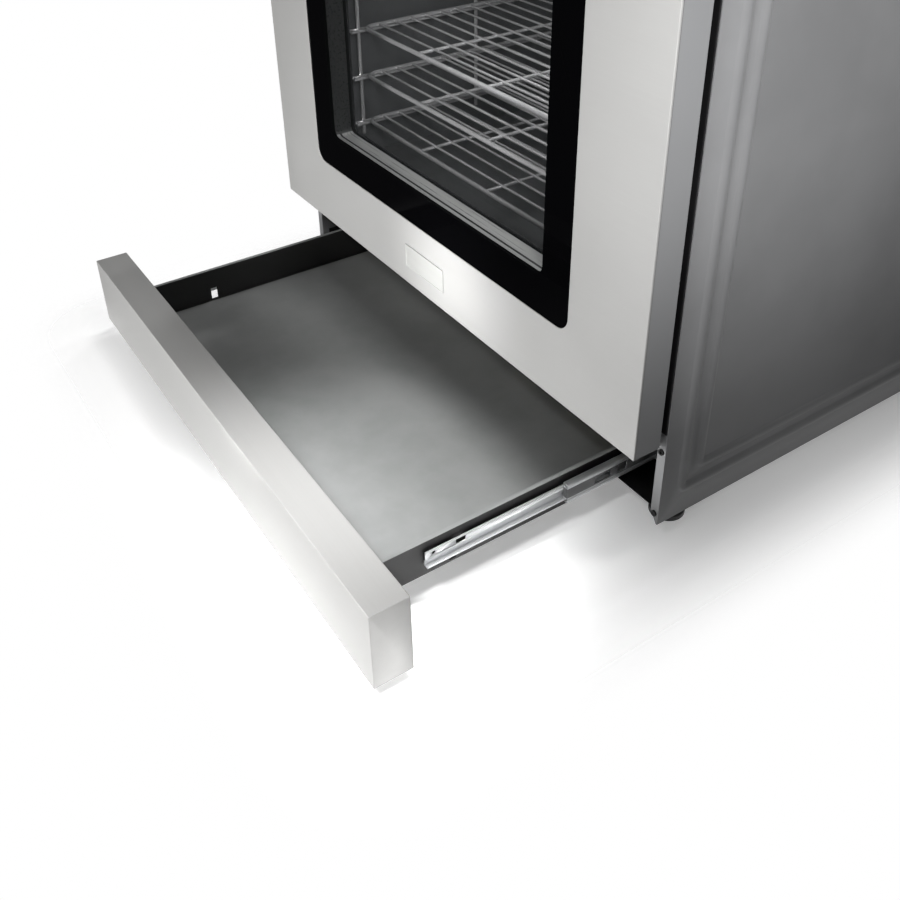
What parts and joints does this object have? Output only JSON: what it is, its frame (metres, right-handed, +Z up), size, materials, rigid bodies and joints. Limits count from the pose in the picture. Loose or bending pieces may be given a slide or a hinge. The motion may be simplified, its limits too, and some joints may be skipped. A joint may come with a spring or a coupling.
{
  "type": "freestanding gas range",
  "caption": "Freestanding gas range with a glazed oven door, sunken cooktop under cast grates, front knobs and a wide storage drawer standing open.",
  "frame": {"origin": "on the floor, at the centre of the footprint with the drawer standing open", "axes": "+Z up, +X to the right of a person facing the oven door, +Y towards the wall"},
  "size_m": [0.762, 0.982, 0.96],
  "materials": {
    "stainless": "vertical brushed stainless sheet",
    "stainless_bar": "polished and brushed stainless tube",
    "painted_side": "satin grey baked paint",
    "painted_frame": "black baked paint",
    "enamel_black": "gloss black porcelain enamel",
    "enamel_grey": "speckled dark grey porcelain enamel",
    "galvanised": "zinc plated sheet",
    "zinc_slide": "bright zinc plated slide steel",
    "tray_grey": "dark grey coated sheet",
    "glass_outer": "tinted glass with a printed black border",
    "glass_inner": "clear heat resistant glass",
    "chrome_wire": "plated steel wire",
    "cast_black": "matte black enamelled cast iron",
    "burner_alloy": "cast alloy burner head",
    "brass": "turned brass",
    "steel_pipe": "plated gas pipe",
    "screw_dark": "blackened screw",
    "gasket_rope": "woven glass fibre rope",
    "insulation": "mineral wool blanket",
    "ceramic": "white ceramic igniter",
    "foot_black": "black moulded foot on a threaded stud"
  },
  "bodies": {
    "cabinet": {"side_panel_left": "painted_side", "side_panel_right": "painted_side", "back_panel": "galvanised", "base_pan": "painted_frame", "front_frame": "painted_frame", "cabinet_screws": "screw_dark", "slide_cabinet_members": "zinc_slide", "slide_brackets": "galvanised", "hinge_receivers": "galvanised", "oven_gasket": "gasket_rope", "oven_cavity": "enamel_grey", "oven_insulation": "insulation", "oven_floor_plate": "enamel_grey", "bake_burner": "burner_alloy", "broil_burner": "burner_alloy", "rack_guides": "chrome_wire", "cooktop_deck": "stainless", "burner_heads": "burner_alloy", "burner_caps": "cast_black", "igniters": "ceramic", "backguard": "stainless", "control_panel": "stainless", "knob_bezels": "stainless_bar", "gas_valves": "brass", "gas_piping": "steel_pipe", "pressure_regulator": "burner_alloy"},
    "oven_door": {"door_skin": "stainless", "door_outer_glass": "glass_outer", "door_window_frame": "painted_frame", "door_inner_glass": "glass_inner", "door_liner": "enamel_black", "door_handle": "stainless_bar", "handle_posts": "stainless_bar", "door_hinge_arms": "galvanised", "door_badge_plate": "stainless_bar"},
    "drawer": {"drawer_front": "stainless", "drawer_front_back": "galvanised", "drawer_tray": "tray_grey", "slide_drawer_members": "zinc_slide"},
    "slide_middle_left": {"slide_middle_left": "zinc_slide"},
    "slide_middle_right": {"slide_middle_right": "zinc_slide"},
    "rack_lower": {"rack_lower": "chrome_wire"},
    "rack_middle": {"rack_middle": "chrome_wire"},
    "rack_upper": {"rack_upper": "chrome_wire"},
    "grate_left": {"grate_left": "cast_black"},
    "grate_right": {"grate_right": "cast_black"},
    "valve_stem_1": {"valve_stem_1": "brass"},
    "knob_1": {"knob_1": "stainless_bar"},
    "valve_stem_2": {"valve_stem_2": "brass"},
    "knob_2": {"knob_2": "stainless_bar"},
    "valve_stem_3": {"valve_stem_3": "brass"},
    "knob_3": {"knob_3": "stainless_bar"},
    "valve_stem_4": {"valve_stem_4": "brass"},
    "knob_4": {"knob_4": "stainless_bar"},
    "valve_stem_5": {"valve_stem_5": "brass"},
    "knob_5": {"knob_5": "stainless_bar"},
    "foot_left_front": {"foot_left_front": "foot_black"},
    "foot_left_rear": {"foot_left_rear": "foot_black"},
    "foot_right_front": {"foot_right_front": "foot_black"},
    "foot_right_rear": {"foot_right_rear": "foot_black"}
  },
  "joints": [
    {"name": "drawer_slide", "type": "slide", "parent": "cabinet", "child": "drawer", "axis": [0, -1, 0], "range_m": [-0.297, 0.05]},
    {"name": "slide_left", "type": "slide", "parent": "cabinet", "child": "slide_middle_left", "axis": [0, -1, 0], "range_m": [-0.1486, 0.0252]},
    {"name": "slide_right", "type": "slide", "parent": "cabinet", "child": "slide_middle_right", "axis": [0, -1, 0], "range_m": [-0.1486, 0.0252]},
    {"name": "door_hinge", "type": "hinge", "parent": "cabinet", "child": "oven_door", "pos_m": [0, -0.1795, 0.1505], "axis": [1, 0, 0], "range_deg": [0, 90], "stiffness_Nm_per_rad": 20, "springref_deg": -14.32},
    {"name": "rack_lower_slide", "type": "slide", "parent": "cabinet", "child": "rack_lower", "axis": [0, -1, 0], "range_m": [0, 0.036]},
    {"name": "rack_middle_slide", "type": "slide", "parent": "cabinet", "child": "rack_middle", "axis": [0, -1, 0], "range_m": [0, 0.036]},
    {"name": "rack_upper_slide", "type": "slide", "parent": "cabinet", "child": "rack_upper", "axis": [0, -1, 0], "range_m": [0, 0.036]},
    {"name": "grate_left_lift", "type": "slide", "parent": "cabinet", "child": "grate_left", "axis": [0, 0, 1], "range_m": [0, 0.15]},
    {"name": "grate_right_lift", "type": "slide", "parent": "cabinet", "child": "grate_right", "axis": [0, 0, 1], "range_m": [0, 0.15]},
    {"name": "valve_turn_1", "type": "hinge", "parent": "cabinet", "child": "valve_stem_1", "pos_m": [-0.29, -0.1925, 0.84], "axis": [0, -1, 0], "range_deg": [0, 270]},
    {"name": "knob_push_1", "type": "slide", "parent": "valve_stem_1", "child": "knob_1", "axis": [0, 1, 0], "range_m": [0, 0.003], "stiffness_N_per_m": 400, "springref_m": -0.001},
    {"name": "valve_turn_2", "type": "hinge", "parent": "cabinet", "child": "valve_stem_2", "pos_m": [-0.145, -0.1925, 0.84], "axis": [0, -1, 0], "range_deg": [0, 270]},
    {"name": "knob_push_2", "type": "slide", "parent": "valve_stem_2", "child": "knob_2", "axis": [0, 1, 0], "range_m": [0, 0.003], "stiffness_N_per_m": 400, "springref_m": -0.001},
    {"name": "valve_turn_3", "type": "hinge", "parent": "cabinet", "child": "valve_stem_3", "pos_m": [0, -0.1925, 0.84], "axis": [0, -1, 0], "range_deg": [0, 270]},
    {"name": "knob_push_3", "type": "slide", "parent": "valve_stem_3", "child": "knob_3", "axis": [0, 1, 0], "range_m": [0, 0.003], "stiffness_N_per_m": 400, "springref_m": -0.001},
    {"name": "valve_turn_4", "type": "hinge", "parent": "cabinet", "child": "valve_stem_4", "pos_m": [0.145, -0.1925, 0.84], "axis": [0, -1, 0], "range_deg": [0, 270]},
    {"name": "knob_push_4", "type": "slide", "parent": "valve_stem_4", "child": "knob_4", "axis": [0, 1, 0], "range_m": [0, 0.003], "stiffness_N_per_m": 400, "springref_m": -0.001},
    {"name": "valve_turn_5", "type": "hinge", "parent": "cabinet", "child": "valve_stem_5", "pos_m": [0.29, -0.1925, 0.84], "axis": [0, -1, 0], "range_deg": [0, 270]},
    {"name": "knob_push_5", "type": "slide", "parent": "valve_stem_5", "child": "knob_5", "axis": [0, 1, 0], "range_m": [0, 0.003], "stiffness_N_per_m": 400, "springref_m": -0.001},
    {"name": "foot_left_front_turn", "type": "hinge", "parent": "cabinet", "child": "foot_left_front", "pos_m": [-0.345, -0.0995, 0], "axis": [0, 0, 1], "range_deg": [-180, 180]},
    {"name": "foot_left_rear_turn", "type": "hinge", "parent": "cabinet", "child": "foot_left_rear", "pos_m": [-0.345, 0.4305, 0], "axis": [0, 0, 1], "range_deg": [-180, 180]},
    {"name": "foot_right_front_turn", "type": "hinge", "parent": "cabinet", "child": "foot_right_front", "pos_m": [0.345, -0.0995, 0], "axis": [0, 0, 1], "range_deg": [-180, 180]},
    {"name": "foot_right_rear_turn", "type": "hinge", "parent": "cabinet", "child": "foot_right_rear", "pos_m": [0.345, 0.4305, 0], "axis": [0, 0, 1], "range_deg": [-180, 180]}
  ],
  "couplings": [
    {"joint": "slide_left", "follows": "drawer_slide", "ratio": 0.5},
    {"joint": "slide_right", "follows": "drawer_slide", "ratio": 0.5}
  ]
}
